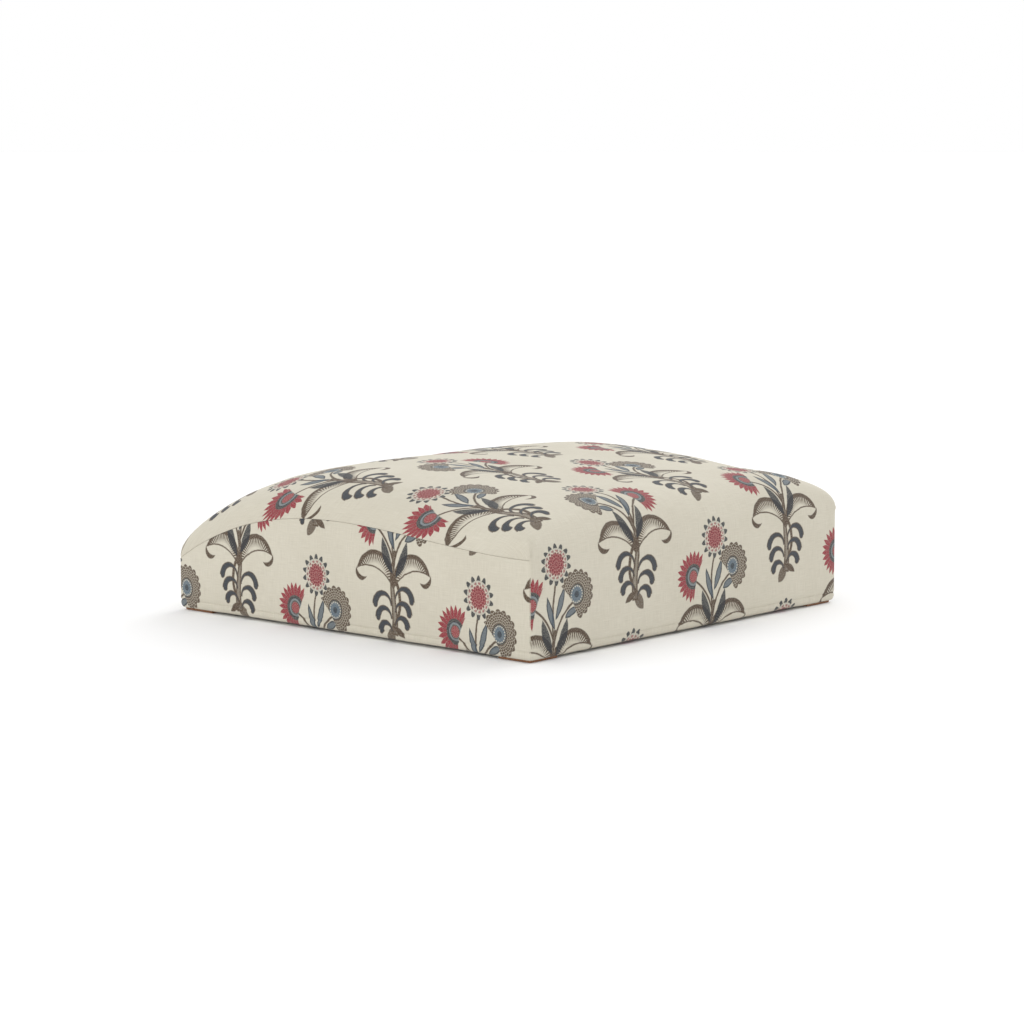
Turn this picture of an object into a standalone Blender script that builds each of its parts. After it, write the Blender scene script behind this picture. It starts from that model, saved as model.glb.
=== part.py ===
"""Upholstered dining-chair seat: a jointed hardwood frame, jute webbing, foam, wadding and a fitted cover.

The origin is the middle of the footprint at the underside of the four leg posts. The front faces -Y.
"""
import math

import bmesh
import bpy
import numpy as np
from mathutils import Matrix

# Overall shape of the covered seat, in metres.
PAD_WIDTH = 0.514
PAD_DEPTH = 0.508
SEAM_STATIONS = (-1.0, -0.135, 0.73, 1.0)      # front to rear, as a share of half the depth
SEAM_HEIGHTS = (0.103, 0.1166, 0.0905, 0.056)   # side seam above the underside at those stations
CROWN_RISE = 0.0479
CROWN_POWER = 4.84
CROWN_SHOULDER = 0.37
FRONT_ROLL_POWER = 14.7
FRONT_ROLL_SHOULDER = 0.595
REAR_ROLL_START = 0.70
REAR_ROLL_POWER = 2.2
CORNER_SHARPNESS = 3.3

# Layers, from the outside in.
GAP = 0.0003
COVER = 0.0012
WADDING_SIDE = 0.0027
WADDING_TOP = 0.0075
WADDING_REAR = 0.0015
WADDING_EDGE = 0.011
TURN_UNDER = 0.024
HEM_HEIGHT = 0.0027
BACK_PANEL_TOP = 0.0535
SEAM_ALLOWANCE = 0.002
MARGIN_STEP = 0.0001

# Frame.
FRAME_INSET = 0.0045
FRAME_TOP = 0.052
RAIL_BOTTOM = 0.0042
RAIL_THICKNESS = 0.022
POST = 0.042
EDGE_BEVEL = 0.001
TENON_LENGTH = 0.020
TENON_THICKNESS = 0.009
TENON_HEIGHT = 0.032
BRACE_LEG = 0.085
BRACE_BOTTOM = 0.012
BRACE_TOP = 0.042
SCREW_LENGTH = 0.040
SCREW_SHANK = 0.0022
SCREW_HEAD = 0.0042
SCREW_SEAT = 0.0015
SCREW_SHARE = 0.22
SCREW_RIM = 0.0006
SCREW_COUNTERSINK = 0.0032
SCREW_TIP = 0.006
SCREW_SIDES = 12

# Suspension and filling.
WEB_WIDTH = 0.050
WEB_THICKNESS = 0.0016
WEB_COUNT = 4
WEB_PITCH = 0.110
WEB_WAVE = 0.0014
WEB_END_INSET = 0.003
WEB_SEGMENTS = 32
HESSIAN_THICKNESS = 0.0008
HESSIAN_SIZE = (0.480, 0.476)
FOAM_SIDE_INSET = 0.0145
FOAM_REAR_INSET = 0.019
FOAM_GAP = 0.0008
FOAM_SPLIT = 0.100
DUST_COVER = 0.0010
DUST_COVER_INSET = 0.010
NOTCH_CLEARANCE = 0.0015

GRID_ACROSS = 20
GRID_ALONG = 24

# Cutting tools reach past the pad by these, and welded points lie closer than the last.
OUTSIDE = 0.3
BELOW = -0.05
OPENING_DEPTH = 0.02
OVERCUT = 0.001
WELD = 0.00001
FLAT = 0.000001

HALF_W = PAD_WIDTH / 2
HALF_D = PAD_DEPTH / 2
FRAME_W = HALF_W - FRAME_INSET
FRAME_D = HALF_D - FRAME_INSET
WADDING_OUT = COVER + GAP
WADDING_IN = WADDING_OUT + WADDING_SIDE
WEB_MIDDLE = FRAME_TOP + GAP + WEB_THICKNESS / 2
HESSIAN_BOTTOM = WEB_MIDDLE + WEB_WAVE + WEB_THICKNESS / 2 + GAP
FOAM_BOTTOM = HESSIAN_BOTTOM + HESSIAN_THICKNESS + GAP
SEAM_CURVE = np.polyfit(SEAM_STATIONS, SEAM_HEIGHTS, 3)

CORNERS = {"front_left": (-1, -1), "front_right": (1, -1), "rear_left": (-1, 1), "rear_right": (1, 1)}


def clear_scene():
    for thing in list(bpy.data.objects):
        bpy.data.objects.remove(thing, do_unlink=True)


def new_collection(name):
    group = bpy.data.collections.new(name)
    bpy.context.scene.collection.children.link(group)
    return group


def material(name, colour, roughness, metallic=0.0):
    mat = bpy.data.materials.new(name)
    mat.use_nodes = True
    shader = mat.node_tree.nodes["Principled BSDF"]
    shader.inputs["Base Color"].default_value = (*colour, 1.0)
    shader.inputs["Roughness"].default_value = roughness
    shader.inputs["Metallic"].default_value = metallic
    return mat


clear_scene()
PARTS = new_collection("chair_seat_pad")
CUTTERS = new_collection("cutters")
LINEN = material("printed_linen", (0.72, 0.66, 0.55), 0.85)
CAMBRIC = material("black_cambric", (0.02, 0.02, 0.022), 0.9)
HARDWOOD = material("hardwood", (0.55, 0.38, 0.22), 0.55)
JUTE = material("jute", (0.47, 0.34, 0.19), 0.95)
FOAM = material("foam", (0.83, 0.76, 0.55), 0.9)
WADDING = material("polyester_wadding", (0.9, 0.9, 0.88), 0.95)
STEEL = material("zinc_plated_steel", (0.7, 0.7, 0.68), 0.35, 1.0)


def add_object(name, mesh, mat):
    part = bpy.data.objects.new(name, mesh)
    if mat is None:
        CUTTERS.objects.link(part)
        part.hide_render = True
        part.display_type = "WIRE"
    else:
        PARTS.objects.link(part)
        mesh.materials.append(mat)
    return part


def mesh_from(name, bm):
    bmesh.ops.recalc_face_normals(bm, faces=bm.faces)
    mesh = bpy.data.meshes.new(name)
    bm.to_mesh(mesh)
    bm.free()
    return mesh


def box(name, low, high, mat=None, bevel=0.0):
    """A block between two opposite corners, with its edges rounded when bevel is set."""
    size = [b - a for a, b in zip(low, high)]
    centre = [(a + b) / 2 for a, b in zip(low, high)]
    bm = bmesh.new()
    bmesh.ops.create_cube(bm, size=1.0, matrix=Matrix.Diagonal((*size, 1.0)))
    part = add_object(name, mesh_from(name, bm), mat)
    part.location = centre
    if bevel:
        edges = part.modifiers.new("edges", "BEVEL")
        edges.width = bevel
        edges.segments = 2
    return part


def plate(name, outline, thickness, mat=None):
    """A flat piece from a closed outline in its own XY plane, centred on that plane."""
    curve = bpy.data.curves.new(name, "CURVE")
    curve.dimensions = "2D"
    curve.fill_mode = "BOTH"
    curve.extrude = thickness / 2
    spline = curve.splines.new("POLY")
    spline.points.add(len(outline) - 1)
    for point, (x, y) in zip(spline.points, outline):
        point.co = (x, y, 0.0, 1.0)
    spline.use_cyclic_u = True
    flat = bpy.data.objects.new(name, curve)
    PARTS.objects.link(flat)
    seen = flat.evaluated_get(bpy.context.evaluated_depsgraph_get())
    bm = bmesh.new()
    bm.from_mesh(bpy.data.meshes.new_from_object(seen))
    bmesh.ops.remove_doubles(bm, verts=bm.verts, dist=WELD)
    bpy.data.objects.remove(flat, do_unlink=True)
    return add_object(name, mesh_from(name, bm), mat)


def combine(part, other, operation):
    step = part.modifiers.new(other.name, "BOOLEAN")
    step.operation = operation
    step.solver = "EXACT"
    step.object = other


def cut(part, *cutters):
    for cutter in cutters:
        combine(part, cutter, "DIFFERENCE")


# ---- the padded shape ----

def seam_height(v):
    """Height of the side seam at v, from -1 at the front to 1 at the rear."""
    return float(np.polyval(SEAM_CURVE, v))


def pad_height(u, v):
    """Height of the covered top at u across and v along, both from -1 to 1."""
    across = max(1.0 - abs(u) ** CROWN_POWER, 0.0) ** CROWN_SHOULDER
    if v < 0:
        along = max(1.0 - abs(v) ** FRONT_ROLL_POWER, 0.0) ** FRONT_ROLL_SHOULDER
    else:
        share = max(v - REAR_ROLL_START, 0.0) / (1.0 - REAR_ROLL_START)
        along = math.sqrt(max(1.0 - share ** REAR_ROLL_POWER, 0.0))
    if min(across, along) < FLAT:
        return seam_height(v)
    blend = across ** -CORNER_SHARPNESS + along ** -CORNER_SHARPNESS - 1.0
    return seam_height(v) + CROWN_RISE * blend ** (-1.0 / CORNER_SHARPNESS)


def depth_below(v, front, rear):
    """A layer's depth under the cover, thinning towards the rear edge."""
    share = max(v - REAR_ROLL_START, 0.0) / (1.0 - REAR_ROLL_START)
    return front + (rear - front) * share


def padded_body(name, inset, depth, floor, mat=None):
    """A closed body under the padded top, inset from the cover and standing on a flat floor."""
    wide, deep = HALF_W - inset, HALF_D - inset
    bm = bmesh.new()
    bmesh.ops.create_grid(bm, x_segments=GRID_ACROSS, y_segments=GRID_ALONG, size=1.0)
    for vert in bm.verts:
        u, v = math.sin(vert.co.x * math.pi / 2), math.sin(vert.co.y * math.pi / 2)
        vert.co = (u * wide, v * deep, pad_height(u, v) - depth_below(v, *depth))
    bmesh.ops.triangulate(bm, faces=bm.faces, quad_method="FIXED")
    rim = [edge for edge in bm.edges if edge.is_boundary]
    skirt = bmesh.ops.extrude_edge_only(bm, edges=rim)["geom"]
    for vert in (item for item in skirt if isinstance(item, bmesh.types.BMVert)):
        vert.co.z = floor
    bmesh.ops.holes_fill(bm, edges=[edge for edge in bm.edges if edge.is_boundary], sides=0)
    return add_object(name, mesh_from(name, bm), mat)


# ---- cover ----

def side_outline(front, rear, bottom, lift):
    """Outline in the YZ plane of a side panel whose top edge follows the seam, moved by lift."""
    stations = np.linspace(front, rear, GRID_ALONG + 1)
    top = [(y, seam_height(y / HALF_D) + lift) for y in stations[::-1]]
    return [(front, bottom), (rear, bottom)] + top


def stand_up(part, x):
    """Turn a plate drawn in its own XY plane so that it stands in the YZ plane at x."""
    part.data.transform(Matrix.Translation((x, 0.0, 0.0)) @ Matrix(((0, 0, 1, 0), (1, 0, 0, 0),
                                                                     (0, 1, 0, 0), (0, 0, 0, 1))))


def margin(name, low, high):
    """The turned-under margin of a cover panel, as a block to be joined to it."""
    return box(name, (*low, HEM_HEIGHT + MARGIN_STEP), (*high, HEM_HEIGHT + COVER))


def make_cover():
    between_w = FRAME_W - POST - OVERCUT
    between_d = FRAME_D - POST - OVERCUT
    hidden = padded_body("cover_inside", COVER, (COVER, COVER), BELOW)
    top = padded_body("cover_top_front", 0.0, (0.0, 0.0), HEM_HEIGHT, LINEN)
    cut(top, hidden)
    for side, sign in (("left", -1), ("right", 1)):
        reach = HALF_D - COVER - GAP
        outline = side_outline(-reach, reach, BELOW, -SEAM_ALLOWANCE)
        opening = plate(f"{side}_opening", outline, OPENING_DEPTH)
        stand_up(opening, sign * (HALF_W - COVER - OVERCUT + OPENING_DEPTH / 2))
        cut(top, opening)
        outline = side_outline(GAP - reach, reach - GAP, HEM_HEIGHT, -SEAM_ALLOWANCE - GAP)
        panel = plate(f"cover_side_{side}", outline, COVER, LINEN)
        stand_up(panel, sign * (HALF_W - COVER / 2))
        ends = sorted((sign * (HALF_W - TURN_UNDER), sign * (HALF_W - COVER / 2)))
        combine(panel, margin(f"{side}_margin", (ends[0], -between_d), (ends[1], between_d)), "UNION")
    rear_wall = box("rear_opening", (-OUTSIDE, HALF_D - COVER - OVERCUT, BELOW),
                    (OUTSIDE, HALF_D + OPENING_DEPTH, BACK_PANEL_TOP))
    cut(top, rear_wall)
    combine(top, margin("front_margin", (-between_w, -HALF_D + COVER / 2),
                        (between_w, -HALF_D + TURN_UNDER)), "UNION")
    back = box("cover_back", (-HALF_W, HALF_D - COVER, HEM_HEIGHT),
               (HALF_W, HALF_D, BACK_PANEL_TOP - GAP), LINEN)
    combine(back, margin("rear_margin", (-between_w, HALF_D - TURN_UNDER),
                         (between_w, HALF_D - COVER / 2)), "UNION")


def make_dust_cover():
    wide, deep = FRAME_W - DUST_COVER_INSET, FRAME_D - DUST_COVER_INSET
    notch_w, notch_d = FRAME_W - POST - NOTCH_CLEARANCE, FRAME_D - POST - NOTCH_CLEARANCE
    quarter = [(notch_w, deep), (notch_w, notch_d), (wide, notch_d)]
    outline = []
    for sx, sy, step in ((1, 1, 1), (1, -1, -1), (-1, -1, 1), (-1, 1, -1)):
        outline += [(sx * x, sy * y) for x, y in quarter[::step]]
    cloth = plate("dust_cover", outline, DUST_COVER, CAMBRIC)
    cloth.location.z = HEM_HEIGHT - GAP - DUST_COVER / 2


# ---- filling ----

def make_filling():
    inner = padded_body("wadding_inside", WADDING_IN,
                        (WADDING_OUT + WADDING_TOP, WADDING_OUT + WADDING_REAR), BELOW)
    wadding = padded_body("wadding", WADDING_OUT, (WADDING_OUT, WADDING_OUT), WADDING_EDGE, WADDING)
    cut(wadding, inner)
    depth = (WADDING_OUT + WADDING_TOP + FOAM_GAP, WADDING_OUT + WADDING_REAR + FOAM_GAP)
    wide, front, rear = HALF_W - FOAM_SIDE_INSET, FOAM_SIDE_INSET - HALF_D, HALF_D - FOAM_REAR_INSET
    halves = (("foam_slab", FOAM_BOTTOM, FOAM_SPLIT), ("foam_crown", FOAM_SPLIT + GAP, OUTSIDE))
    for name, low, high in halves:
        foam = padded_body(name, WADDING_IN + FOAM_GAP, depth, 0.0, FOAM)
        combine(foam, box(f"{name}_zone", (-wide, front, low), (wide, rear, high)), "INTERSECT")


def make_hessian():
    wide, deep = (size / 2 for size in HESSIAN_SIZE)
    box("hessian", (-wide, -deep, HESSIAN_BOTTOM), (wide, deep, HESSIAN_BOTTOM + HESSIAN_THICKNESS),
        JUTE)


def make_strap(name, turn, offset, phase, frame):
    """One webbing strap along its own X axis, woven over and under the straps that cross it."""
    last = WEB_PITCH * (WEB_COUNT - 1) / 2
    rail_face, crossed = frame - RAIL_THICKNESS, last + WEB_WIDTH / 2
    bm = bmesh.new()
    bmesh.ops.create_grid(bm, x_segments=WEB_SEGMENTS, y_segments=1, size=1.0)
    for vert in bm.verts:
        along = vert.co.x * (frame - WEB_END_INSET)
        fade = min(max((rail_face - abs(along)) / (rail_face - crossed), 0.0), 1.0)
        wave = phase * WEB_WAVE * fade * math.cos(math.pi * (along + last) / WEB_PITCH)
        vert.co = (along, vert.co.y * WEB_WIDTH / 2 + offset, WEB_MIDDLE + wave)
    if turn:
        bmesh.ops.rotate(bm, verts=bm.verts, matrix=Matrix.Rotation(math.pi / 2, 3, "Z"))
    strap = add_object(name, mesh_from(name, bm), JUTE)
    thick = strap.modifiers.new("thickness", "SOLIDIFY")
    thick.thickness = WEB_THICKNESS
    thick.offset = 0.0


def make_webbing():
    first = -WEB_PITCH * (WEB_COUNT - 1) / 2
    for index in range(WEB_COUNT):
        place = first + index * WEB_PITCH
        sign = 1 if index % 2 == 0 else -1
        make_strap(f"webbing_across_{index + 1}", False, place, sign, FRAME_W)
        make_strap(f"webbing_along_{index + 1}", True, -place, -sign, FRAME_D)


# ---- frame ----

def screw(name, clearance=0.0, mat=None):
    """A countersunk wood screw or the hole for it, its head at the origin and its point towards -Z."""
    shank, head, tip = SCREW_SHANK + clearance, SCREW_HEAD + clearance, SCREW_LENGTH + clearance
    top = OPENING_DEPTH if mat is None else 0.0
    profile = [(0.0, top), (head, top), (head, -SCREW_RIM), (shank, -SCREW_COUNTERSINK),
               (shank, SCREW_TIP - tip), (0.0, -tip)]
    bm = bmesh.new()
    verts = [bm.verts.new((x, 0.0, z)) for x, z in profile]
    for pair in zip(verts, verts[1:]):
        bm.edges.new(pair)
    mesh = bpy.data.meshes.new(name)
    bm.to_mesh(mesh)
    bm.free()
    part = add_object(name, mesh, mat)
    turned = part.modifiers.new("turned", "SCREW")
    turned.steps = SCREW_SIDES
    turned.render_steps = SCREW_SIDES
    turned.use_merge_vertices = True
    turned.merge_threshold = WELD
    return part


def brace_screws(sx, sy):
    """Places and headings of the two screws that hold a corner brace, one into each rail."""
    corner_x, corner_y = FRAME_W - RAIL_THICKNESS, FRAME_D - RAIL_THICKNESS
    heading = math.atan2(sy, sx)
    for share, target in ((SCREW_SHARE, "side"), (1.0 - SCREW_SHARE, "end")):
        into_x, into_y = share * BRACE_LEG, (1.0 - share) * BRACE_LEG
        x = sx * (corner_x - into_x + SCREW_SEAT * math.sqrt(0.5))
        y = sy * (corner_y - into_y + SCREW_SEAT * math.sqrt(0.5))
        yield target, x, y, heading


def place_screw(part, x, y, heading):
    part.location = (x, y, (BRACE_BOTTOM + BRACE_TOP) / 2)
    part.rotation_euler = (0.0, -math.pi / 2, heading)


def make_braces():
    """Corner braces with their screws. Returns the holes that each rail needs."""
    holes = {"left": [], "right": [], "front": [], "rear": []}
    post = POST - RAIL_THICKNESS + GAP
    shape = [(post, GAP), (BRACE_LEG, GAP), (GAP, BRACE_LEG), (GAP, post), (post, post)]
    for corner, (sx, sy) in CORNERS.items():
        outline = [(sx * (FRAME_W - RAIL_THICKNESS - a), sy * (FRAME_D - RAIL_THICKNESS - b))
                   for a, b in shape]
        brace = plate(f"corner_brace_{corner}", outline, BRACE_TOP - BRACE_BOTTOM, HARDWOOD)
        brace.location.z = (BRACE_BOTTOM + BRACE_TOP) / 2
        for target, x, y, heading in brace_screws(sx, sy):
            fastener = screw(f"screw_{corner}_{target}", mat=STEEL)
            hole = screw(f"hole_{corner}_{target}", GAP)
            place_screw(fastener, x, y, heading)
            place_screw(hole, x, y, heading)
            cut(brace, hole)
            if target == "side":
                rail = "left" if sx < 0 else "right"
            else:
                rail = "front" if sy < 0 else "rear"
            holes[rail].append(hole)
    return holes


def tenon_bar(name, along_x, centre, reach, grow):
    """The tenons at both ends of a rail as one bar, or with grow the mortises that take them."""
    low_z = (RAIL_BOTTOM + FRAME_TOP - TENON_HEIGHT) / 2 - grow
    high_z = low_z + TENON_HEIGHT + 2 * grow
    half = TENON_THICKNESS / 2 + grow
    if along_x:
        return box(name, (-reach - grow, centre - half, low_z), (reach + grow, centre + half, high_z))
    return box(name, (centre - half, -reach - grow, low_z), (centre + half, reach + grow, high_z))


def make_rail(name, along_x, sign, holes):
    """One seat rail with its tenons. Returns the cutter for the mortises that take them."""
    across = FRAME_D if along_x else FRAME_W
    shoulder = (FRAME_W if along_x else FRAME_D) - POST - GAP
    faces = sorted((sign * across, sign * (across - RAIL_THICKNESS)))
    low, high = (-shoulder, faces[0]), (shoulder, faces[1])
    if not along_x:
        low, high = low[::-1], high[::-1]
    rail = box(f"rail_{name}", (*low, RAIL_BOTTOM), (*high, FRAME_TOP), HARDWOOD, EDGE_BEVEL)
    middle = sum(faces) / 2
    reach = shoulder + GAP + TENON_LENGTH
    combine(rail, tenon_bar(f"tenons_{name}", along_x, middle, reach, 0.0), "UNION")
    cut(rail, *holes)
    return tenon_bar(f"mortises_{name}", along_x, middle, reach, GAP)


def make_frame():
    holes = make_braces()
    mortises = {
        "front": make_rail("front", True, -1, holes["front"]),
        "rear": make_rail("rear", True, 1, holes["rear"]),
        "left": make_rail("left", False, -1, holes["left"]),
        "right": make_rail("right", False, 1, holes["right"]),
    }
    for corner, (sx, sy) in CORNERS.items():
        across = sorted((sx * FRAME_W, sx * (FRAME_W - POST)))
        along = sorted((sy * FRAME_D, sy * (FRAME_D - POST)))
        post = box(f"leg_post_{corner}", (across[0], along[0], 0.0), (across[1], along[1], FRAME_TOP),
                   HARDWOOD, EDGE_BEVEL)
        cut(post, mortises["front" if sy < 0 else "rear"], mortises["left" if sx < 0 else "right"])


make_frame()
make_webbing()
make_hessian()
make_filling()
make_cover()
make_dust_cover()
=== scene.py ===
"""How the chair seat pad looks: its printed linen cover, its filling, its jointed frame and its underside."""
import math

import bmesh
import bpy
import numpy as np
from mathutils import Matrix, Vector


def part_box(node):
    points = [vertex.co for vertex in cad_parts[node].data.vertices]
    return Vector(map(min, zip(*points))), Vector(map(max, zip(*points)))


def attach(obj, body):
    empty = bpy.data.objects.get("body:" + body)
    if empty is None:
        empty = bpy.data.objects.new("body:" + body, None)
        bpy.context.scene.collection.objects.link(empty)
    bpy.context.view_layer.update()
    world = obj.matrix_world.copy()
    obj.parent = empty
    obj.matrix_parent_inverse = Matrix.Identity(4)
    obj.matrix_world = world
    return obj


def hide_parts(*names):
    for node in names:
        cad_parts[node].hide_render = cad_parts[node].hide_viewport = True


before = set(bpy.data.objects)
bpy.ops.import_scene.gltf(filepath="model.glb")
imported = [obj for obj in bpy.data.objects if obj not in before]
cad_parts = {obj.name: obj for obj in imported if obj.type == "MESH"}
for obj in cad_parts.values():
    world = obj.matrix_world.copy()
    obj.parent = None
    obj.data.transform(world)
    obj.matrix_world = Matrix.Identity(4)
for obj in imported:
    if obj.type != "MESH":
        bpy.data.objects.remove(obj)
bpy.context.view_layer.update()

# ---- the padded shape, in metres, as the CAD has it ----
PAD_WIDTH = 0.514
PAD_DEPTH = 0.508
SEAM_STATIONS = (-1.0, -0.135, 0.73, 1.0)
SEAM_HEIGHTS = (0.103, 0.1166, 0.0905, 0.056)
CROWN_RISE = 0.0479
CROWN_POWER = 4.84
CROWN_SHOULDER = 0.37
FRONT_ROLL_POWER = 14.7
FRONT_ROLL_SHOULDER = 0.595
REAR_ROLL_START = 0.70
REAR_ROLL_POWER = 2.2
CORNER_SHARPNESS = 3.3
SEAM_CURVE = np.polyfit(SEAM_STATIONS, SEAM_HEIGHTS, 3)
HALF_W = PAD_WIDTH / 2
HALF_D = PAD_DEPTH / 2
FRONT_SEAM = SEAM_HEIGHTS[0]
REAR_SEAM = SEAM_HEIGHTS[-1]
POST_LOW, POST_HIGH = (np.array(corner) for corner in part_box("leg_post_front_right"))

# ---- cover ----
CLOTH = 0.0011           # thickness of the cover
STEP = 0.0042            # spacing of the cover's grid
STRETCH = 1.1            # the curved top's width over the flat wall's
NEAR_SEAM = (0.0012, 0.0026)
NEAR_HEM = tuple(0.0004 * number for number in range(1, 13))
HEM_CUT = (0.0016, 0.0006)
ARC_POINTS = 900         # points along a curve whose length is measured
PROFILE_POINTS = 1400
CORNER_ROUND = 0.0034    # radius of the cover over the front corners
CORNER_ARC = CORNER_ROUND * math.pi / 4
CORNER_FADE = 0.004      # height over which that rounding fades in above the front wall
CORNER_EASE = 0.0012     # how far the top is drawn in at a rear corner
EASE_REACH = 0.0060
SEAM_ROLL = 0.0007       # radius at which a panel turns in at a seam
SEAM_ALLOWANCE = 0.0035
SEAM_TURNS = (0.4, 0.8, 1.2, math.pi / 2)
SEAM_ROWS = len(SEAM_TURNS)
SEAM_SMOOTHING = 6
HEM = 0.0028             # height of the cloth under the rails
HEM_RISE = 0.0062
HEM_TURNS = 7
HEM_EASE = 0.03          # distance from a leg over which the hem's tuck changes
HEM_CLOTH = 0.85         # the curl's cloth over its outer radius
RAIL_TUCK = 0.0052
POST_TUCK = 0.0030
MARGIN = 0.0185
MARGIN_SHARES = (0.05, 0.15, 0.4, 0.7, 1.0)
FOLD_BACK = 0.0115       # how far the hem is folded up inside at a leg
FOLD_GAP = 0.0004
HEM_CREASE = 0.0112      # height of the shallow crease where the cover meets the frame's edge
CREASE_DEPTH = 0.0009
CREASE_WIDTH = 0.0013
SIM_STEP = 0.0105
SIM_FRAMES = 20
TOP_PUFF = 0.0010        # the furthest that the simulation may push each panel out
WALL_PUFF = 0.0022
PRESSURE = 4.0
CLOTH_SETTINGS = {"quality": 6, "mass": 0.35, "tension_stiffness": 18.0, "compression_stiffness": 18.0,
                  "shear_stiffness": 8.0, "bending_stiffness": 0.6, "use_pressure": True,
                  "uniform_pressure_force": PRESSURE, "vertex_group_mass": "pins"}
WAVES = 14               # slight hollows left by hand, and the range of their lengths
WAVE_LENGTHS = (0.035, 0.13)
UNEVEN = 0.0012          # of each wave's length
UNEVEN_FADE = 0.02
RELIEF_FADE = 0.004      # how near a seam all unevenness ends
PUCKER = 0.00016
PUCKER_SPACING = 0.0115
PUCKER_REACH = 0.007
EDGE_LEAST = 1e-9        # keeps a power of zero out of the crown's edge
TINY = 1e-12

# ---- block print, in millimetres ----
COLUMN_PITCH = 128.0
REPEAT = 205.0
ROOT_HEIGHT = 12.0       # of a sprig's root above the start of its repeat
PRINT_WOBBLE = 1.5
PRINT_MM = 1000.0        # millimetres of print to a metre of cloth
SIDE_PRINT = 1123.0      # the sides' cloth is cut from a narrower repeat
TOP_START = (-34.0, 74.0)
SIDE_START = (49.4, 110.5)

# ---- linen ----
LINEN_PALE = (0.655, 0.617, 0.515)
LINEN_DEEP = (0.560, 0.520, 0.422)
INKS = (("brown", (0.070, 0.040, 0.021), 0.98), ("blue", (0.050, 0.100, 0.150), 0.94),
        ("red", (0.265, 0.018, 0.032), 0.98), ("teal", (0.026, 0.029, 0.034), 0.95))
YARN = 0.00072           # spacing of the linen's yarns


# ---- shader graph helpers ----

class Number:
    """A value that varies over a surface. Arithmetic on it adds nodes to its material."""

    def __init__(self, tree, socket):
        self.tree = tree
        self.socket = socket

    def math(self, operation, *others):
        return math_node(self.tree, operation, self, *others)

    def __add__(self, other):
        return self.math("ADD", other)

    __radd__ = __add__

    def __sub__(self, other):
        return self.math("SUBTRACT", other)

    def __rsub__(self, other):
        return math_node(self.tree, "SUBTRACT", other, self)

    def __mul__(self, other):
        return self.math("MULTIPLY", other)

    __rmul__ = __mul__

    def __neg__(self):
        return self * -1.0

    def __abs__(self):
        return self.math("ABSOLUTE")

    def fraction(self):
        return self.math("FRACT")

    def whole(self):
        return self.math("FLOOR")

    def sine(self):
        return self.math("SINE")


def plug(tree, socket, value):
    """Set an input from a number, a tuple or another node's output."""
    source = value.socket if isinstance(value, (Number, Place)) else value
    if isinstance(source, bpy.types.NodeSocket):
        tree.links.new(source, socket)
    else:
        socket.default_value = source


def math_node(tree, operation, *values):
    node = tree.nodes.new("ShaderNodeMath")
    node.operation = operation
    for socket, value in zip(node.inputs, values):
        plug(tree, socket, value)
    return Number(tree, node.outputs[0])


def vector_node(tree, operation, first, second, output=0):
    node = tree.nodes.new("ShaderNodeVectorMath")
    node.operation = operation
    plug(tree, node.inputs[0], first)
    node.inputs[1].default_value = second
    return node.outputs[output]


def low(a, b):
    return a.math("MINIMUM", b)


def high(a, b):
    return a.math("MAXIMUM", b)


def ramp(value, start, end):
    """0 at start, 1 at end and straight between them."""
    node = value.tree.nodes.new("ShaderNodeMapRange")
    plug(value.tree, node.inputs["Value"], value)
    node.inputs["From Min"].default_value = start
    node.inputs["From Max"].default_value = end
    return Number(value.tree, node.outputs["Result"])


class Place:
    """A point on the cloth, in millimetres across and up."""

    def __init__(self, tree, x, y):
        self.tree = tree
        self.x = x
        self.y = y
        node = tree.nodes.new("ShaderNodeCombineXYZ")
        plug(tree, node.inputs["X"], x)
        plug(tree, node.inputs["Y"], y)
        self.socket = node.outputs[0]

    def measured(self, operation, other):
        return Number(self.tree, vector_node(self.tree, operation, self, (*other, 0.0), "Value"))

    def distance(self, centre):
        return self.measured("DISTANCE", centre)

    def along(self, heading, centre):
        """How far the point lies from centre in one direction."""
        offset = heading[0] * centre[0] + heading[1] * centre[1]
        return self.measured("DOT_PRODUCT", heading) - offset

    def polar(self, centre):
        """Distance and angle about a centre."""
        angle = (self.y - centre[1]).math("ARCTAN2", self.x - centre[0])
        return self.distance(centre), angle

    def folded(self):
        """The same point with the left half laid over the right."""
        return Place(self.tree, abs(self.x), self.y)


# ---- block print ----
# Every number in this section is a place or length in millimetres of cloth, a count or a share of ink.
# Shapes are depths: above zero inside, below zero outside.

def arc(base, tip, bulge):
    """Centre and radius of the circle through two points, bulging to the left of the way between them."""
    (ax, ay), (bx, by) = base, tip
    length = math.hypot(bx - ax, by - ay)
    radius = (length * length / 4 + bulge * bulge) / (2 * abs(bulge))
    shift = (bulge - math.copysign(radius, bulge)) / length
    return ((ax + bx) / 2 - (by - ay) * shift, (ay + by) / 2 + (bx - ax) * shift), radius


def disc(place, centre, radius):
    return radius - place.distance(centre)


def blade(place, base, tip, outer, inner):
    """A pointed leaf between two arcs from base to tip."""
    shape = disc(place, *arc(base, tip, outer))
    other = disc(place, *arc(base, tip, inner))
    return low(shape, other if inner * outer < 0 else -other)


def stalk(place, base, tip, bulge, width):
    """A thin curved stem from base to tip."""
    centre, radius = arc(base, tip, bulge)
    middle = ((base[0] + tip[0]) / 2, (base[1] + tip[1]) / 2)
    reach = math.hypot(tip[0] - base[0], tip[1] - base[1]) / 2
    return low(width / 2 - abs(disc(place, centre, radius)), disc(place, middle, reach + width / 2))


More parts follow.
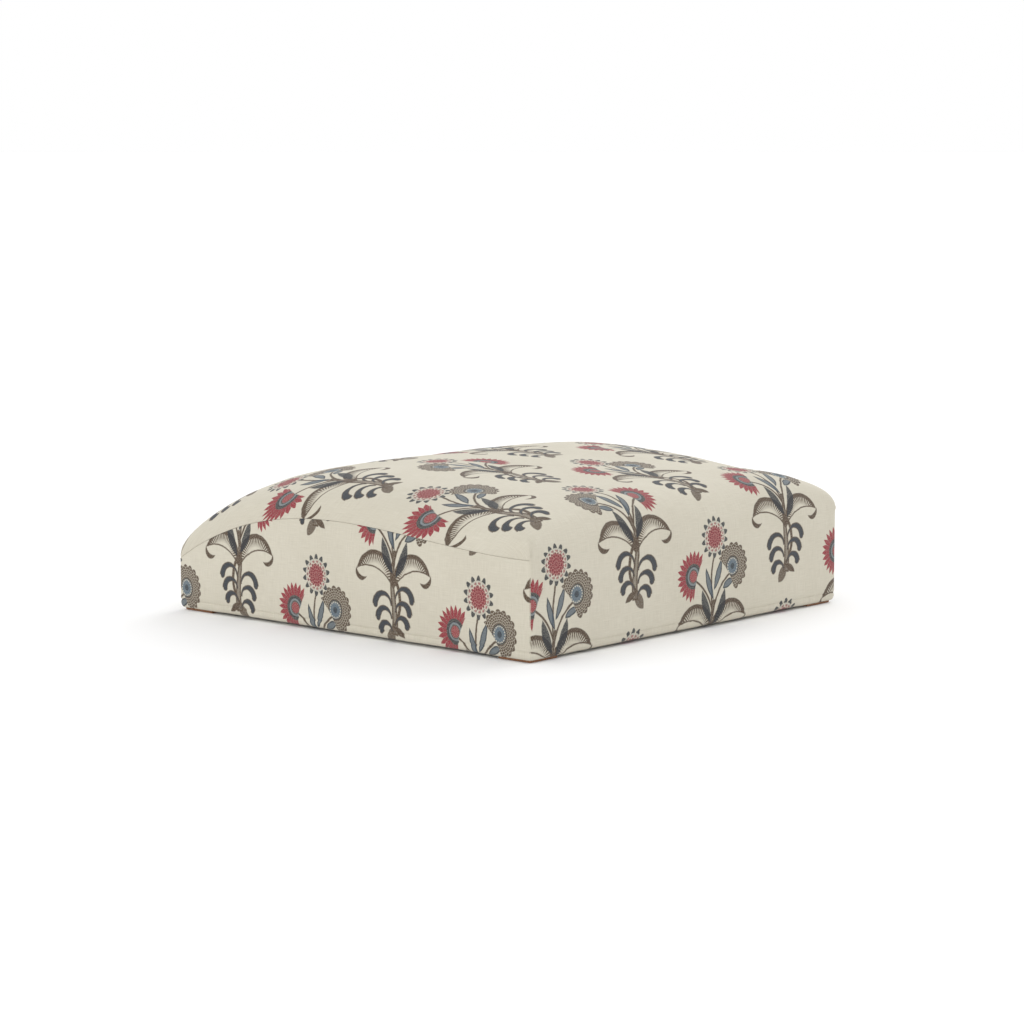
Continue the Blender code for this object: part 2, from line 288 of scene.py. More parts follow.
def hooked_leaf(place, base, tip, bulge, head):
    """A small leaf like a comma: thin at the stem, widening along an arc to a round head at its tip."""
    across, up = tip[0] - base[0], tip[1] - base[1]
    length = math.hypot(across, up)
    progress = place.along((across / length, up / length), base) * (1 / length)
    turn = math.copysign(1.0, bulge) / length
    beyond = place.along((-up * turn, across * turn), base)
    band = progress * head * 0.8 + 1.3 - abs(disc(place, *arc(base, tip, bulge)))
    return high(low(band, beyond), disc(place, tip, head))


def zigzag(angle, count, turn=0.0):
    """0 along the middle of each petal and 1 in each gap between petals."""
    return abs((angle * (count / math.tau) + turn).fraction() - 0.5) * 2


def ink(depth, soft=0.45):
    return ramp(depth, -soft, soft)


def outline(depth, width):
    """A line just inside the edge of a shape."""
    return ink(width / 2 - abs(depth - width / 2))


def rosette(place, centre):
    """A round flower: a speckled crimson eye in a ring of pale pointed petals."""
    radius, angle = place.polar(centre)
    petal = zigzag(angle, 14)
    rim = 22.5 - petal * petal * 8.4
    ring = radius * 0.31
    speck = zigzag(angle, 15, ring.whole() * 0.5) + abs(ring.fraction() - 0.5)
    red = ink(12.8 - zigzag(angle, 21, 0.3) * 2.4 - radius) * (1 - ramp(speck, 0.90, 1.25) * 0.35)
    red = high(red, ink(15.6 - radius) * ramp(speck, 0.90, 0.50) * 0.75)
    inside = ink(rim - radius)
    teal = high(inside * ink(radius - 17.2), outline(rim - radius, 1.1))
    teal = high(teal, inside * ink(radius - 12.6) * ramp(petal, 0.78, 0.92) * 0.8)
    teal = high(teal, ink(12.4 - radius) * ramp(speck, 0.60, 0.28) * 0.60)
    blue = inside * ink(radius - 14.2) * ink(0.42 - petal) * 0.3
    return {"red": red, "teal": teal, "blue": blue, "cover": inside}


def fan_flower(place, centre, side):
    """A half-open daisy seen from the side, its crimson rays spreading away from the stem."""
    radius, angle = place.polar(centre)
    opening = place.along((side * 0.93, 0.36), centre) + 5.5 + radius * 0.16
    ray = zigzag(angle, 23)
    rim = 27.5 - ray * 6.5
    inside = low(rim - radius, opening)
    red = ink(low(inside, radius - 13.2)) * ramp(ray, 1.06, 0.86)
    eye = ink(low(6.4 - radius, opening)) * (1 - ramp(zigzag(angle, 15), 0.5, 0.9) * 0.25)
    teal = high(ink(low(1.9 - abs(radius - 11.6), opening)), ink(low(0.7 - abs(radius - 6.9), opening)))
    gaps = ramp(ray, 0.82, 0.97) * ramp(radius, 22.0, 17.0)
    teal = high(teal, ink(low(inside, radius - 13.2)) * gaps * 0.7)
    blue = ink(low(1.6 - abs(radius - 9.0), opening)) * 0.8
    return {"red": high(red, eye), "teal": teal, "blue": blue, "cover": ink(inside)}


def seed_flower(place, centre, side):
    """A scalloped flower head of small brown seeds over a blue calyx."""
    radius, angle = place.polar(centre)
    opening = place.along((side * 0.80, 0.60), centre) + 7.0 + radius * 0.22
    scallop = zigzag(angle, 17)
    rim = 25.5 - scallop * scallop * 3.2
    inside = low(rim - radius, opening)
    ring = radius * 0.40
    seed = abs(ring.fraction() - 0.5) * 1.3 + zigzag(angle, 34, ring.whole() * 0.5) * 0.8
    brown = ink(low(inside, radius - 9.6)) * (1 - ramp(seed, 0.66, 1.05) * 0.62)
    brown = high(brown, ink(low(0.9 - abs(rim - 0.8 - radius), opening)))
    blue = ink(low(9.4 - radius - scallop * 2.2, opening)) * 0.95
    teal = high(ink(low(0.8 - abs(radius - 9.8), opening)), ink(low(3.4 - radius, opening)) * 0.8)
    return {"brown": brown, "blue": blue, "teal": teal, "cover": ink(inside)}


def curled_leaf(place, base, tip, outer, inner):
    """A broad leaf that arches over, brown along its back and hatched towards a pale inner edge."""
    shape = blade(place, base, tip, outer, inner)
    centre, radius = arc(base, tip, outer)
    away, angle = place.polar(centre)
    back = radius - away
    hatch = zigzag(angle, 1.7 * radius)
    shade = high(ramp(back, 6.2, 4.2), ramp(hatch, 0.15, 0.60) * ramp(back, 14.5, 8.5))
    return high(ink(shape) * shade, outline(shape, 1.6))


def twisted_stem(place):
    """The main stem: thick at the root, with a pale streak up its middle."""
    x, y = place.x, place.y
    depth = low(5.3 - y * 0.034 - abs(x - (y * 0.075).sine() * 2.2), low(y - 4.0, 92.0 - y))
    return ink(depth) * (1 - ramp(depth, 1.6, 2.8) * 0.30)


def sprig(place):
    """One printed sprig, its root at the origin. Returns how strong each ink is."""
    mirrored = place.folded()
    brown = high(twisted_stem(place), ink(blade(place, (-1.0, 13.0), (17.0, 3.0), 4.4, -3.2)))
    brown = high(brown, ink(blade(place, (1.0, 13.0), (-12.0, -6.0), 6.6, -5.6)) * 0.9)
    brown = high(brown, curled_leaf(mirrored, (1.0, 52.0), (58.0, 69.0), 30.0, 11.0))
    brown = high(brown, ink(blade(mirrored, (58.5, 71.0), (42.0, 62.0), 9.4, 4.0)))
    brown = high(brown, ink(stalk(place, (0.0, 74.0), (3.0, 142.0), 4.0, 2.5)))
    brown = high(brown, ink(stalk(place, (0.5, 72.0), (-32.0, 116.0), -7.0, 2.5)))
    brown = high(brown, ink(stalk(place, (1.0, 80.0), (32.0, 118.0), 6.0, 2.5)))
    teal = ink(blade(place, (-2.0, 68.0), (-18.0, 104.0), 7.4, -3.4))
    teal = high(teal, ink(blade(place, (3.0, 64.0), (20.0, 102.0), -7.6, 3.4)))
    blue = None
    for base, tip, outer, inner in (((1.0, 92.0), (-11.0, 126.0), 5.2, -2.8),
                                    ((2.0, 102.0), (15.0, 134.0), -5.2, 3.0),
                                    ((17.0, 102.0), (36.0, 110.0), 5.2, -3.0)):
        leaf = blade(place, base, tip, outer, inner)
        teal = high(teal, outline(leaf, 1.2))
        brown = high(brown, ink(leaf) * 0.5)
        blue = ink(leaf) * 0.75 if blue is None else high(blue, ink(leaf) * 0.75)
    brown = high(brown, ink(stalk(place, (0.5, 14.0), (4.0, 60.0), -8.5, 4.4)))
    for side in (-1, 1):
        for number in range(3):
            height, reach = 11.0 + 13.5 * number + 3.5 * side, 21.0 + 4.0 * number
            leaf = hooked_leaf(place, (side * 3.0, height), (side * reach, height), side * reach * 0.42, 3.7)
            teal = high(teal, ink(leaf - 1.0) * 0.66)
            blue = high(blue, ink(leaf - 1.0) * 0.55)
            brown = high(brown, ink(leaf))
    inks = {"brown": brown, "teal": teal, "blue": blue}
    for flower in (fan_flower(place, (-33.0, 120.0), -1), seed_flower(place, (34.0, 124.0), 1),
                   rosette(place, (3.0, 158.0))):
        clear = 1 - flower.pop("cover")
        for name in inks:
            inks[name] = inks[name] * clear
        for name, strength in flower.items():
            inks[name] = high(inks[name], strength) if name in inks else strength
    return inks


# ---- materials ----

def new_material(name, roughness):
    """A material with its shader, and the tree that it stands in."""
    mat = bpy.data.materials.new(name)
    mat.use_nodes = True
    shader = mat.node_tree.nodes["Principled BSDF"]
    shader.inputs["Roughness"].default_value = roughness
    return mat, mat.node_tree, shader


def paint(tree, shader, colour):
    """Use a colour that varies over the surface."""
    tree.links.new(colour, shader.inputs["Base Color"])


def attribute(tree, name):
    node = tree.nodes.new("ShaderNodeAttribute")
    node.attribute_name = name
    return node.outputs["Vector"]


def split(tree, vector):
    node = tree.nodes.new("ShaderNodeSeparateXYZ")
    tree.links.new(vector, node.inputs[0])
    return [Number(tree, socket) for socket in node.outputs]


def noise(tree, vector, scale, detail=2.0, roughness=0.5):
    node = tree.nodes.new("ShaderNodeTexNoise")
    tree.links.new(vector, node.inputs["Vector"])
    node.inputs["Scale"].default_value = scale
    node.inputs["Detail"].default_value = detail
    node.inputs["Roughness"].default_value = roughness
    return Number(tree, node.outputs["Fac"])


def stretched(tree, vector, scale):
    return vector_node(tree, "MULTIPLY", vector, scale)


def mix(tree, factor, first, second):
    """Two colours mixed. Each is a tuple or a socket."""
    node = tree.nodes.new("ShaderNodeMix")
    node.data_type = "RGBA"
    plug(tree, node.inputs["Factor"], factor)
    for name, value in (("A", first), ("B", second)):
        socket = next(item for item in node.inputs if item.name == name and item.type == "RGBA")
        plug(tree, socket, (*value, 1.0) if isinstance(value, tuple) else value)
    return next(item for item in node.outputs if item.type == "RGBA")


def bump(tree, shader, height, distance, strength=1.0):
    node = tree.nodes.new("ShaderNodeBump")
    node.inputs["Strength"].default_value = strength
    node.inputs["Distance"].default_value = distance
    plug(tree, node.inputs["Height"], height)
    tree.links.new(node.outputs[0], shader.inputs["Normal"])


def object_position(tree):
    return tree.nodes.new("ShaderNodeTexCoord").outputs["Object"]


def weave(tree, vector, pitch):
    """A plain weave of uneven yarns. Returns its height and the mean slub of its warp and weft."""
    x, y, _ = split(tree, vector)
    slub = noise(tree, stretched(tree, vector, (1400.0, 60.0, 1.0)), 1.0, 1.0)
    slub_across = noise(tree, stretched(tree, vector, (60.0, 1400.0, 1.0)), 1.0, 1.0)
    turn = math.pi / pitch
    warp = abs((x * turn).sine())
    weft = abs((y * turn).sine())
    over = ((x * turn * 0.5).sine() * (y * turn * 0.5).sine()) * 0.5 + 0.5
    height = warp * (over * 0.5 + 0.5) * (slub + 0.4) + weft * (1.1 - over * 0.5) * (slub_across + 0.4)
    return height, slub * 0.5 + slub_across * 0.5


def printed_linen():
    """Cream linen, block printed with a half-drop repeat of sprigs."""
    mat, tree, shader = new_material("printed_linen", 0.86)
    cloth = attribute(tree, "cloth")
    print_place = attribute(tree, "print")
    x, y, _ = split(tree, print_place)
    wobble = (noise(tree, print_place, 0.16, 2.0) - 0.5) * PRINT_WOBBLE
    x = x + wobble
    y = y - wobble
    column = (x * (1 / COLUMN_PITCH) + 0.5).whole()
    half_drop = (column * 0.5).fraction() * REPEAT
    local_y = ((y + half_drop) * (1 / REPEAT)).fraction() * REPEAT - ROOT_HEIGHT
    # Every fourth column is printed turned over.
    mirror = ((column + 1.0) * 0.25 - 0.01).fraction().math("GREATER_THAN", 0.8) * -2.0 + 1.0
    local_x = (x - column * COLUMN_PITCH) * mirror
    inks = sprig(Place(tree, local_x, local_y))
    height, slub = weave(tree, cloth, YARN)
    tone = noise(tree, cloth, 9.0, 3.0)
    colour = mix(tree, ramp(slub * 0.7 + tone * 0.3, 0.36, 0.66), LINEN_DEEP, LINEN_PALE)
    patchy = ramp(noise(tree, print_place, 0.70, 4.0, 0.65) + slub * 0.35, 0.46, 0.76) * 0.30 + 0.74
    for name, tint, strength in INKS:
        colour = mix(tree, inks[name] * patchy * strength, colour, tint)
    paint(tree, shader, colour)
    shader.inputs["Sheen Weight"].default_value = 0.12
    shader.inputs["Sheen Roughness"].default_value = 0.6
    shader.inputs["Specular IOR Level"].default_value = 0.25
    bump(tree, shader, height, 0.00022, 0.55)
    return mat


# ---- meshes ----

def place_object(name, data):
    """A new object in the scene."""
    item = bpy.data.objects.new(name, data)
    bpy.context.scene.collection.objects.link(item)
    return item


def grid_faces(rows, cols):
    """The faces over a grid of points, each as four point numbers."""
    index = np.arange(rows * cols).reshape(rows, cols)
    return np.stack([index[:-1, :-1], index[1:, :-1], index[1:, 1:], index[:-1, 1:]], axis=2)


def smooth_mesh(name, points, faces):
    mesh = bpy.data.meshes.new(name)
    mesh.from_pydata(points.reshape(-1, 3).tolist(), [], faces.reshape(-1, 4).tolist())
    mesh.polygons.foreach_set("use_smooth", [True] * len(mesh.polygons))
    mesh.update()
    return mesh


def thin_piece(name, grid, skip, thickness, offset, mat, layers=()):
    """A thin piece over a grid of points, without the faces that skip marks.
    Each layer is a name and a pair of values for each point."""
    mesh = smooth_mesh(name, grid, grid_faces(*grid.shape[:2])[~skip])
    for label, pairs in layers:
        layer = mesh.attributes.new(label, "FLOAT_VECTOR", "POINT")
        layer.data.foreach_set("vector", np.pad(pairs.reshape(-1, 2), ((0, 0), (0, 1))).ravel())
    bm = bmesh.new()
    bm.from_mesh(mesh)
    bmesh.ops.delete(bm, geom=[vert for vert in bm.verts if not vert.link_faces], context="VERTS")
    bm.to_mesh(mesh)
    bm.free()
    mesh.materials.append(mat)
    piece = place_object(name, mesh)
    solid = piece.modifiers.new("thickness", "SOLIDIFY")
    solid.thickness = thickness
    solid.offset = offset
    return piece


def stand_for(piece, node, slot):
    """Have a piece stand for a CAD node."""
    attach(piece, "root")
    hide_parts(node)


def points_grid(x, y, z, shape):
    """A grid of points from coordinates that may each be the same along a row or a column."""
    return np.stack([np.broadcast_to(values, shape) for values in (x, y, z)], axis=2)


# ---- cover geometry ----

def seam_height(v):
    """Height of the side seam at v along the pad, from -1 at the front to 1 at the rear."""
    return np.polyval(SEAM_CURVE, v)


def pad_height(u, v):
    """Height of the covered top at u across and v along, both from -1 to 1, for arrays of points."""
    across = np.maximum(1.0 - np.abs(u) ** CROWN_POWER, EDGE_LEAST) ** CROWN_SHOULDER
    front = np.maximum(1.0 - np.abs(v) ** FRONT_ROLL_POWER, TINY) ** FRONT_ROLL_SHOULDER
    share = np.maximum(v - REAR_ROLL_START, 0.0) / (1.0 - REAR_ROLL_START)
    rear = np.sqrt(np.maximum(1.0 - share ** REAR_ROLL_POWER, TINY))
    along = np.where(v < 0, front, rear)
    blend = across ** -CORNER_SHARPNESS + along ** -CORNER_SHARPNESS - 1.0
    return seam_height(v) + CROWN_RISE * blend ** (-1.0 / CORNER_SHARPNESS)


def lengths(points):
    """How far along a run of points each one lies."""
    steps = np.linalg.norm(np.diff(points, axis=0), axis=1)
    return np.concatenate([[0.0], np.cumsum(steps)])


def spread(total, step, first=(), last=(), also=()):
    """Stations from 0 to total, about step apart, with more near its first and last ends, and others too."""
    even = np.linspace(0.0, total, max(int(round(total / step)), 4) + 1)
    stations = np.concatenate([even, np.array(first), total - np.array(last), np.array(also)])
    return np.unique(np.round(stations, 5))


def unit(vectors):
    """Vectors brought to a length of 1."""
    return vectors / np.maximum(np.linalg.norm(vectors, axis=-1, keepdims=True), TINY)


def leg_face(axis):
    """Distance from the pad's middle to the inner faces of the legs."""
    return min(abs(POST_LOW[axis]), abs(POST_HIGH[axis]))


def beside_posts(axis):
    """Distances from the pad's middle of the two columns of a wall between which its hem is cut at a leg."""
    return leg_face(axis) - np.array(HEM_CUT)


def top_row(v, shares_from_middle):
    """Points of one row of the top, at shares of its half width measured over the cloth from its middle."""
    u = np.sin(np.linspace(0.0, 1.0, ARC_POINTS) * math.pi / 2)
    half = np.stack([u * HALF_W, np.full_like(u, v * HALF_D), pad_height(u, np.full_like(u, v))], axis=1)
    run = lengths(half)
    reach = np.abs(shares_from_middle) * (run[-1] - SEAM_ROLL)
    side = np.where(shares_from_middle < 0, -1.0, 1.0)
    point = np.stack([np.interp(reach, run, half[:, k]) for k in range(3)], axis=1)
    point[:, 0] *= side
    return point, reach * side


def corner_run(distance_from_corner):
    """Where cloth lies near a rounded upright corner: how far short of it, and how far in from its wall.
    The distance is measured over the cloth from the seam at the middle of the rounding."""
    turn = np.clip((CORNER_ARC - distance_from_corner) / CORNER_ROUND, 0.0, math.pi / 4)
    beyond = np.maximum(distance_from_corner - CORNER_ARC, 0.0)
    return CORNER_ROUND * (1 - np.sin(turn)) + beyond, CORNER_ROUND * (1 - np.cos(turn))


def top_front_surface(step):
    """The top and front as one sheet of points, its rows running from the rear edge to the hem."""
    half_run = HALF_W - CORNER_ROUND + CORNER_ARC
    share = spread(half_run, step / STRETCH, last=NEAR_SEAM, also=beside_posts(0)) / half_run
    share = np.concatenate([-share[:0:-1], share])
    v = np.sin(np.linspace(-1.0, 1.0, PROFILE_POINTS) * math.pi / 2)
    run = lengths(np.stack([v * HALF_D, pad_height(np.zeros_like(v), v)], axis=1))
    rows = np.interp(spread(run[-1] - SEAM_ROLL, step, last=NEAR_SEAM)[::-1], run, v)
    points, flat = [], []
    for v_row in rows:
        line, across = top_row(v_row, share)
        level = np.minimum((line[:, 2].max() - seam_height(v_row)) / CROWN_RISE, 1.0) ** 2
        cloth_x = line[:, 0] + (across - line[:, 0]) * level
        points.append(line)
        flat.append(np.stack([cloth_x, np.full_like(across, v_row)], axis=1))
    points, flat = np.array(points), np.array(flat)
    # Cloth height is measured up each column, starting from the wall's top.
    drops = np.linalg.norm(np.diff(points, axis=0), axis=2)
    climb = np.concatenate([np.cumsum(drops[::-1], axis=0)[::-1], np.zeros((1, points.shape[1]))], axis=0)
    flat[:, :, 1] = climb + FRONT_SEAM
    base = HEM + HEM_RISE
    wall_z = (np.flip(spread(FRONT_SEAM - base, step, first=NEAR_HEM)) + HEM + HEM_RISE)[1:]
    reach = half_run * np.abs(share)
    short, inset = corner_run(half_run - reach)
    shape = (len(wall_z), len(share))
    wall = points_grid(np.sign(share) * (HALF_W - short), -HALF_D + inset, wall_z[:, None], shape)
    wall_flat = np.stack([np.broadcast_to(np.sign(share) * reach, shape), wall[:, :, 2]], axis=2)
    fade = np.clip(1.0 - (HALF_D + points[:, :, 1]) / CORNER_FADE, 0.0, 1.0)
    points[:, :, 1] += inset * fade
    # The rear corners are drawn in, over the rounded walls below them.
    beside = np.clip(1.0 - (HALF_W - np.abs(points[:, :, 0])) / EASE_REACH, 0.0, 1.0)
    behind = np.clip(1.0 - (HALF_D - points[:, :, 1]) / EASE_REACH, 0.0, 1.0)
    ease = CORNER_EASE * (beside * behind) ** 2
    points[:, :, 0] -= np.sign(points[:, :, 0]) * ease
    points[:, :, 1] -= ease
    return np.concatenate([points, wall]), np.concatenate([flat, wall_flat])


def wall_stations(length, axis, step):
    """Stations along a wall of the given length between two corners, from one seam to the other.
    Returns them with their distance from the wall's start and how far in from its face they lie."""
    total = length - 2 * CORNER_ROUND + 2 * CORNER_ARC
    cuts = length / 2 - CORNER_ROUND + CORNER_ARC - beside_posts(axis)
    stations = spread(total, step, NEAR_SEAM, NEAR_SEAM, (*cuts, *(total - cuts)))
    short_first, inset_first = corner_run(stations)
    short_last, inset_last = corner_run(total - stations)
    in_first_half = stations < total / 2
    place = np.where(in_first_half, -length / 2 + short_first, length / 2 - short_last)
    return stations - total / 2, place, np.where(in_first_half, inset_first, inset_last)


def side_surface(step, sign):
    """A side panel as rows of points from its top seam to the hem."""
    stations, y, inset = wall_stations(PAD_DEPTH, 1, step)
    top = seam_height(y / HALF_D) - SEAM_ROLL
    base = HEM + HEM_RISE
    share = spread(FRONT_SEAM - base, step, NEAR_SEAM, NEAR_HEM) / (FRONT_SEAM - base)
    z = top[None, :] + (base - top)[None, :] * share[:, None]
    grid = points_grid(sign * (HALF_W - inset), y, z, z.shape)
    flat = np.stack([np.broadcast_to(stations, z.shape) * sign, z], axis=2)
    return (grid, flat) if sign > 0 else (grid[:, ::-1], flat[:, ::-1])


def back_surface(step):
    """The low back panel as rows of points from its top seam to the hem."""
    stations, x, inset = wall_stations(PAD_WIDTH, 0, step)
    base = HEM + HEM_RISE
    z = np.flip(spread(REAR_SEAM - SEAM_ROLL - base, step, NEAR_HEM, NEAR_SEAM)) + base
    grid = points_grid(x, HALF_D - inset, z[:, None], (len(z), len(x)))
    flat = np.stack([np.broadcast_to(-stations, grid.shape[:2]), grid[:, :, 2]], axis=2)
    return grid[:, ::-1], flat[:, ::-1]


def grid_normals(grid):
    """Outward unit normals of a grid whose rows run down and columns rightwards, seen from outside."""
    return unit(np.cross(np.gradient(grid, axis=0), np.gradient(grid, axis=1)))


def smooth_along(values):
    """Directions along an edge, smoothed."""
    for _ in range(SEAM_SMOOTHING):
        inner = (values[:-2] + 2 * values[1:-1] + values[2:]) / 4
        values = np.concatenate([values[:1], inner, values[-1:]])
    return unit(values)


def seam_edge(grid, flat, skip, ends):
    """Turn the last row of a panel in at a seam: a small rounding, then the allowance inside.
    Returns the panel with the new rows, which stop short of the seams already made at its two ends."""
    first, last = SEAM_ROWS * ends[0], grid.shape[1] - SEAM_ROWS * ends[1]
    edge, before = grid[-1, first:last], grid[-2, first:last]
    heading = smooth_along(edge - before)
    inward = -smooth_along(grid_normals(grid[-4:, first:last])[-1])
    heading = unit(heading - inward * np.sum(heading * inward, axis=1, keepdims=True))
    flat_heading = unit(flat[-1] - flat[-2])
    for turn in SEAM_TURNS:
        row = grid[-1:].copy()
        onward, inset = heading * SEAM_ROLL * math.sin(turn), inward * SEAM_ROLL * (1 - math.cos(turn))
        row[0, first:last] = edge + onward + inset
        if turn == SEAM_TURNS[-1]:
            row[0, first:last] += inward * SEAM_ALLOWANCE
        grid = np.concatenate([grid, row])
        flat = np.concatenate([flat, flat[-1:] + flat_heading * SEAM_ROLL * turn])
        left_out = np.ones((1, grid.shape[1] - 1), bool)
        left_out[0, first:last - 1] = False
        skip = np.concatenate([skip, left_out])
    return grid, flat, skip


def hem_rows(grid, flat, skip, axis):
    """Curl the last row of a wall in under the rail, or fold it up behind itself at a leg.
    The wall runs along the given axis. Returns the grid, its cloth positions and the faces to leave out."""
    edge = grid[-1]
    at_post = np.abs(edge[:, axis]) > leg_face(axis) - sum(HEM_CUT) / 2
    across = 1 - axis
    inward = -np.sign(edge[len(edge) // 2, across])
    nearest = np.min(np.abs(np.abs(edge[:, axis])[:, None] - np.abs(edge[at_post, axis])[None, :]), axis=1)
    ease = np.clip(nearest / HEM_EASE, 0.0, 1.0)
    ease = ease * ease * (3 - 2 * ease)
    tuck = POST_TUCK + (RAIL_TUCK - POST_TUCK) * ease
    half = (HALF_W, HALF_D)[axis]
    rows, flats = [], []
    for turn in np.linspace(0.0, math.pi / 2, HEM_TURNS)[1:]:
        row = edge.copy()
        row[:, across] += inward * tuck * (1 - math.cos(turn))
        row[:, axis] *= 1 - POST_TUCK * (1 - math.cos(turn)) / half
        row[:, 2] = HEM + HEM_RISE * (1 - math.sin(turn))
        rows.append(row)
        flats.append(flat[-1] - np.array([0.0, turn * HEM_RISE * HEM_CLOTH]))
    under, under_flat = rows[-1], flats[-1]
    for share in MARGIN_SHARES:
        row = under.copy()
        row[:, across] += inward * np.where(at_post, FOLD_GAP, MARGIN * share)
        row[:, 2] += np.where(at_post, FOLD_BACK * share, 0.0)
        rows.append(row)
        flats.append(under_flat - np.array([0.0, MARGIN * share]))
    left_out = np.repeat([at_post[1:] != at_post[:-1]], len(rows), axis=0)
    left_out[:-len(MARGIN_SHARES)] = False
    left_out[:, [0, 1, -2, -1]] = True
    return np.concatenate([grid, rows]), np.concatenate([flat, flats]), np.concatenate([skip, left_out])


def turned(panel, turns):
    """Quarter turns of a panel: its grid, its cloth positions and the faces that it leaves out."""
    return tuple(np.rot90(item, turns, axes=(0, 1)).copy() for item in panel)


def simulate(grid):
    """Inflate a panel held along its edges, and return how far each point moved."""
    rows, cols = grid.shape[:2]
    sheet = place_object("simulated", smooth_mesh("simulated", grid, grid_faces(rows, cols)))
    index = np.arange(rows * cols).reshape(rows, cols)
    held = np.concatenate([index[0], index[-1], index[:, 0], index[:, -1]])
    sheet.vertex_groups.new(name="pins").add(held.tolist(), 1.0, "REPLACE")
    cloth = sheet.modifiers.new("cloth", "CLOTH")
    for name, value in CLOTH_SETTINGS.items():
        setattr(cloth.settings, name, value)
    cloth.settings.effector_weights.gravity = 0.0
    cloth.collision_settings.use_collision = False
    scene = bpy.context.scene
    for step in range(1, SIM_FRAMES + 1):
        scene.frame_set(step)
    seen = sheet.evaluated_get(bpy.context.evaluated_depsgraph_get())
    moved = np.empty(rows * cols * 3)
    seen.data.vertices.foreach_get("co", moved)
    scene.frame_set(1)
    bpy.data.objects.remove(sheet, do_unlink=True)
    return moved.reshape(rows, cols, 3) - grid


def puffed(grid, moves, limit):
    """The outward part of each move, eased so that none passes the limit."""
    normal = grid_normals(grid)
    out = np.maximum(np.sum(moves * normal, axis=2), 0.0)
    return normal * (limit * np.tanh(out / limit))[:, :, None]


def shares(grid, axis):
    """How far along its middle line each row or column of a grid lies, from 0 to 1."""
    line = grid[:, grid.shape[1] // 2] if axis == 0 else grid[grid.shape[0] // 2]
    run = lengths(line)
    return run / run[-1]


def resample(values, old, new):
    """Values on the old grid brought to the points of a finer grid over the same surface."""
    for axis in (0, 1):
        stations, known = shares(new, axis), shares(old, axis)
        values = np.apply_along_axis(lambda line: np.interp(stations, known, line), axis, values)
    return values


def random_waves(rng, count, lengths_between, x, y):
    """Sine waves over a surface, of random length and heading: the length and the wave of each."""
    for _ in range(count):
        length = rng.uniform(*lengths_between)
        heading, start = rng.uniform(0, math.tau, 2)
        way = x * math.cos(heading) + y * math.sin(heading)
        yield length, np.sin(way * math.tau / length + start)


def handled(flat, seed):
    """Slight unevenness left by the upholsterer's hands, for the cloth positions of a panel."""
    waves = random_waves(np.random.default_rng(seed), WAVES, WAVE_LENGTHS, flat[:, :, 0], flat[:, :, 1])
    return sum(length * wave for length, wave in waves) * UNEVEN


def drawn_in(flat, distance, seed):
    """Small puckers where stitches or staples pull, for distances over the cloth from that edge."""
    rng = np.random.default_rng(seed)
    way = flat.sum(axis=2)
    wander = np.sin(way * 21.0 + rng.uniform(0, math.tau)) * 1.6
    turn = way * math.tau / PUCKER_SPACING
    ripple = np.sin(turn + wander) + 0.6 * np.sin(turn * 1.7 + 2.0)
    return PUCKER * ripple * np.exp(-distance / PUCKER_REACH)


def crease(grid):
    """Press the shallow crease above the hem into a wall."""
    depth = CREASE_DEPTH * np.exp(-((grid[:, :, 2] - HEM_CREASE) / CREASE_WIDTH) ** 2)
    return grid - grid_normals(grid) * depth[:, :, None]


def edge_distances(grid):
    """How far each point lies from the left, right, top and bottom edges, measured over the surface."""
    steps_across = np.linalg.norm(np.diff(grid, axis=1), axis=2)
    steps_down = np.linalg.norm(np.diff(grid, axis=0), axis=2)
    across = np.pad(np.cumsum(steps_across, axis=1), ((0, 0), (1, 0)))
    down = np.pad(np.cumsum(steps_down, axis=0), ((1, 0), (0, 0)))
    return across, across[:, -1:] - across, down, down[-1:] - down


def make_panel(name, surface, axis, seed, puff, print_scale, print_shift, node):
    """One cover panel, sewn along its left, right and top edges and stapled under the frame."""
    grid, flat = surface(STEP)
    coarse, _ = surface(SIM_STEP)
    grid = grid + resample(puffed(coarse, simulate(coarse), puff), coarse, grid)
    distances = edge_distances(grid)
    from_seam = np.min(distances[:3], axis=0)
    relief = handled(flat, seed) * (1 - np.exp(-from_seam / UNEVEN_FADE))
    for number, distance in enumerate(distances):
        relief = relief + drawn_in(flat, distance, seed + number)
    relief *= np.minimum(from_seam / RELIEF_FADE, 1.0)
    grid = crease(grid + grid_normals(grid) * relief[:, :, None])
    panel = (grid, flat, np.zeros((grid.shape[0] - 1, grid.shape[1] - 1), bool))
    panel = turned(seam_edge(*turned(panel, -1), (False, False)), 1)
    panel = turned(seam_edge(*turned(panel, 1), (False, False)), -1)
    panel = turned(seam_edge(*turned(panel, 2), (True, True)), 2)
    grid, flat, skip = hem_rows(*panel, axis)
    layers = (("cloth", flat), ("print", flat * print_scale + print_shift))
    piece = thin_piece(name, grid, skip, CLOTH, -1.0, LINEN, layers)
    stand_for(piece, node, "cover_linen")


LINEN = printed_linen()
FULL_SCALE = (PRINT_MM, PRINT_MM)

make_panel("cover_top", top_front_surface, 0, 11, TOP_PUFF, FULL_SCALE, TOP_START, "cover_top_front")
for side, sign in (("left", -1), ("right", 1)):
    make_panel(f"cover_{side}", lambda step: side_surface(step, sign), 1, 23 + sign, WALL_PUFF,
               (SIDE_PRINT, PRINT_MM), SIDE_START, f"cover_side_{side}")
make_panel("cover_rear", back_surface, 0, 37, WALL_PUFF, FULL_SCALE, (0.0, 0.0), "cover_back")

# ---- filling ----

